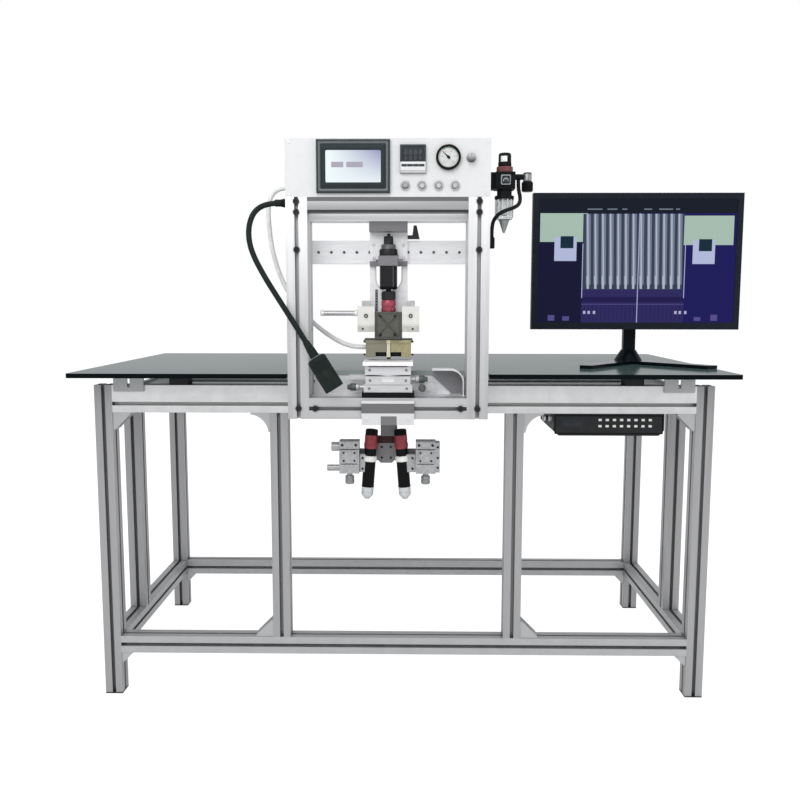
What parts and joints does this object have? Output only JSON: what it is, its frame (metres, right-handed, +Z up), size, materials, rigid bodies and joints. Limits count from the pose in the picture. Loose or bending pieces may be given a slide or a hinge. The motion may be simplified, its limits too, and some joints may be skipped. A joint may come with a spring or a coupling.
{
  "type": "acf bonding machine",
  "caption": "Bench bonding machine: slotted-profile table with glass top, gantry with heated press head and control box, adjustable platform, under-table cameras and a tilting screen",
  "frame": {"origin": "on the floor, at the middle of the overall box", "axes": "+X along the table to the right as the operator sees it, +Y to the back, +Z up"},
  "size_m": [1.538, 0.786, 1.247],
  "materials": {
    "anodised_profile": "satin clear anodised",
    "cast_bracket": "bead blasted",
    "black_plastic": "fine grain",
    "tempered_glass": "polished, dark edge",
    "machined_plate": "machined",
    "socket_screw": "black oxide",
    "white_powder_coat": "white powder coat",
    "dark_bezel": "dark grey moulded",
    "gauge_case": "black enamel rim, white dial",
    "needle_black": "black",
    "bright_metal": "bright plated",
    "air_black": "black with dark red collar",
    "clear_bowl": "clear ribbed bowl",
    "black_hose": "smooth",
    "lamp_black": "ribbed sleeve and smooth head",
    "grey_hose": "smooth pale grey",
    "dark_anodised": "dark anodised",
    "cylinder_grey": "grey collar, black barrel",
    "olive_block": "dark machined",
    "red_anodised": "red anodised",
    "steel_rod": "ground",
    "roller_grey": "satin",
    "brass_block": "dull gold",
    "stage_metal": "fine machined",
    "thimble_metal": "knurled",
    "hanger_grey": "dark grey paint",
    "camera_black": "black barrel, red collar, silver tail",
    "screen_black": "black housing",
    "stand_black": "gloss black",
    "unit_black": "black, pale keys"
  },
  "bodies": {
    "frame": {"corner_legs": "anodised_profile", "mid_legs": "anodised_profile", "front_top_rail": "anodised_profile", "frame_rails": "anodised_profile", "gantry_uprights": "anodised_profile", "gantry_beams": "anodised_profile", "frame_brackets": "cast_bracket", "leg_end_caps": "black_plastic", "glass_pads": "black_plastic", "cable_glands": "black_plastic", "temp_controller": "black_plastic", "glass_top": "tempered_glass", "base_plate": "machined_plate", "head_cross_bar": "machined_plate", "head_back_plate": "machined_plate", "frame_bolts": "socket_screw", "control_box": "white_powder_coat", "control_panel": "white_powder_coat", "hmi_bezel": "dark_bezel", "gauge_case": "gauge_case", "button_bezels": "bright_metal", "air_unit_body": "air_black", "air_unit_bowl": "clear_bowl", "air_tube": "black_hose", "work_lamp": "lamp_black", "thermode_cable": "grey_hose", "head_top_block": "dark_anodised", "platform_plinth": "dark_anodised", "air_cylinder": "cylinder_grey", "camera_hanger": "hanger_grey", "monitor_stand": "stand_black", "controller_box": "unit_black"},
    "head": {"head_carriage": "olive_block", "pressure_adjuster": "red_anodised", "cylinder_rod": "steel_rod", "head_wings": "white_powder_coat", "thermode": "brass_block"},
    "roller": {"tape_roller": "roller_grey"},
    "stroke_stop": {"stroke_knob": "black_plastic"},
    "button_1": {"push_button_1": "bright_metal"},
    "button_2": {"push_button_2": "bright_metal"},
    "button_3": {"push_button_3": "bright_metal"},
    "button_4": {"push_button_4": "bright_metal"},
    "needle": {"gauge_needle": "needle_black"},
    "selector": {"selector_knob": "bright_metal"},
    "air_knob": {"air_unit_knob": "black_plastic"},
    "valve": {"valve_grip": "black_plastic"},
    "platform_x": {"platform_x_slide": "stage_metal"},
    "platform_y": {"platform_y_slide": "stage_metal"},
    "platform_top": {"work_plate": "stage_metal"},
    "x_adjuster": {"x_thimble": "thimble_metal"},
    "y_adjuster": {"y_thimble": "thimble_metal"},
    "theta_adjuster": {"theta_thimble": "thimble_metal"},
    "left_slide": {"left_camera_slide": "stage_metal"},
    "right_slide": {"right_camera_slide": "stage_metal"},
    "left_eye": {"left_camera": "camera_black"},
    "right_eye": {"right_camera": "camera_black"},
    "left_focus": {"left_focus_thimble": "thimble_metal"},
    "right_focus": {"right_focus_thimble": "thimble_metal"},
    "screen": {"monitor_panel": "screen_black"}
  },
  "joints": [
    {"name": "head_slide", "type": "slide", "parent": "frame", "child": "head", "axis": [0, 0, 1], "range_m": [0, 0.03]},
    {"name": "roller_spin", "type": "hinge", "parent": "head", "child": "roller", "pos_m": [-0.1465, -0.2993, 0.889], "axis": [1, 0, 0], "continuous": true},
    {"name": "stroke_stop_turn", "type": "hinge", "parent": "frame", "child": "stroke_stop", "pos_m": [-0.08, -0.2921, 1.02], "axis": [0, 0, 1], "range_deg": [-720, 720]},
    {"name": "button_1_press", "type": "slide", "parent": "frame", "child": "button_1", "axis": [0, 1, 0], "range_m": [0, 0.003], "stiffness_N_per_m": 400},
    {"name": "button_2_press", "type": "slide", "parent": "frame", "child": "button_2", "axis": [0, 1, 0], "range_m": [0, 0.003], "stiffness_N_per_m": 400},
    {"name": "button_3_press", "type": "slide", "parent": "frame", "child": "button_3", "axis": [0, 1, 0], "range_m": [0, 0.003], "stiffness_N_per_m": 400},
    {"name": "button_4_press", "type": "slide", "parent": "frame", "child": "button_4", "axis": [0, 1, 0], "range_m": [0, 0.003], "stiffness_N_per_m": 400},
    {"name": "needle_turn", "type": "hinge", "parent": "frame", "child": "needle", "pos_m": [0.0447, -0.354, 1.208], "axis": [0, 1, 0], "range_deg": [-90, 180], "stiffness_Nm_per_rad": 0.002},
    {"name": "selector_turn", "type": "hinge", "parent": "frame", "child": "selector", "pos_m": [0.092, -0.348, 1.208], "axis": [0, 1, 0], "range_deg": [0, 90]},
    {"name": "air_knob_turn", "type": "hinge", "parent": "frame", "child": "air_knob", "pos_m": [0.165, -0.308, 1.2], "axis": [0, 0, 1], "range_deg": [-720, 720]},
    {"name": "valve_turn", "type": "hinge", "parent": "frame", "child": "valve", "pos_m": [0.213, -0.308, 1.155], "axis": [0, 0, 1], "range_deg": [0, 90]},
    {"name": "platform_x_travel", "type": "slide", "parent": "frame", "child": "platform_x", "axis": [1, 0, 0], "range_m": [-0.0065, 0.0065]},
    {"name": "platform_y_travel", "type": "slide", "parent": "platform_x", "child": "platform_y", "axis": [0, 1, 0], "range_m": [-0.005, 0.005]},
    {"name": "platform_turn", "type": "hinge", "parent": "platform_y", "child": "platform_top", "pos_m": [-0.08, -0.3015, 0.76], "axis": [0, 0, 1], "range_deg": [-5, 5]},
    {"name": "x_adjuster_turn", "type": "hinge", "parent": "platform_x", "child": "x_adjuster", "pos_m": [-0.132, -0.308, 0.7298], "axis": [1, 0, 0], "range_deg": [-2350, 2350]},
    {"name": "y_adjuster_turn", "type": "hinge", "parent": "platform_x", "child": "y_adjuster", "pos_m": [-0.007, -0.3035, 0.7298], "axis": [0, 1, 0], "range_deg": [-1810, 1810]},
    {"name": "theta_adjuster_turn", "type": "hinge", "parent": "platform_y", "child": "theta_adjuster", "pos_m": [-0.032, -0.308, 0.7471], "axis": [1, 0, 0], "range_deg": [-1210, 1210]},
    {"name": "left_camera_travel", "type": "slide", "parent": "frame", "child": "left_slide", "axis": [1, 0, 0], "range_m": [-0.006, 0.006]},
    {"name": "right_camera_travel", "type": "slide", "parent": "frame", "child": "right_slide", "axis": [1, 0, 0], "range_m": [-0.006, 0.006]},
    {"name": "left_camera_focus", "type": "slide", "parent": "left_slide", "child": "left_eye", "axis": [0, 0, 1], "range_m": [-0.006, 0.006]},
    {"name": "right_camera_focus", "type": "slide", "parent": "right_slide", "child": "right_eye", "axis": [0, 0, 1], "range_m": [-0.006, 0.006]},
    {"name": "left_focus_turn", "type": "hinge", "parent": "left_slide", "child": "left_focus", "pos_m": [-0.167, -0.278, 0.525], "axis": [0, 0, 1], "range_deg": [-1090, 1090]},
    {"name": "right_focus_turn", "type": "hinge", "parent": "right_slide", "child": "right_focus", "pos_m": [0.002, -0.278, 0.525], "axis": [0, 0, 1], "range_deg": [-1090, 1090]},
    {"name": "screen_tilt", "type": "hinge", "parent": "frame", "child": "screen", "pos_m": [0.516, -0.007, 1], "axis": [1, 0, 0], "range_deg": [-15, 5]}
  ],
  "couplings": [
    {"joint": "x_adjuster_turn", "follows": "platform_x_travel", "rad_per_m": 6283.2},
    {"joint": "y_adjuster_turn", "follows": "platform_y_travel", "rad_per_m": 6283.2},
    {"joint": "theta_adjuster_turn", "follows": "platform_turn", "ratio": 239},
    {"joint": "left_focus_turn", "follows": "left_camera_focus", "rad_per_m": 3141.6},
    {"joint": "right_focus_turn", "follows": "right_camera_focus", "rad_per_m": 3141.6}
  ]
}
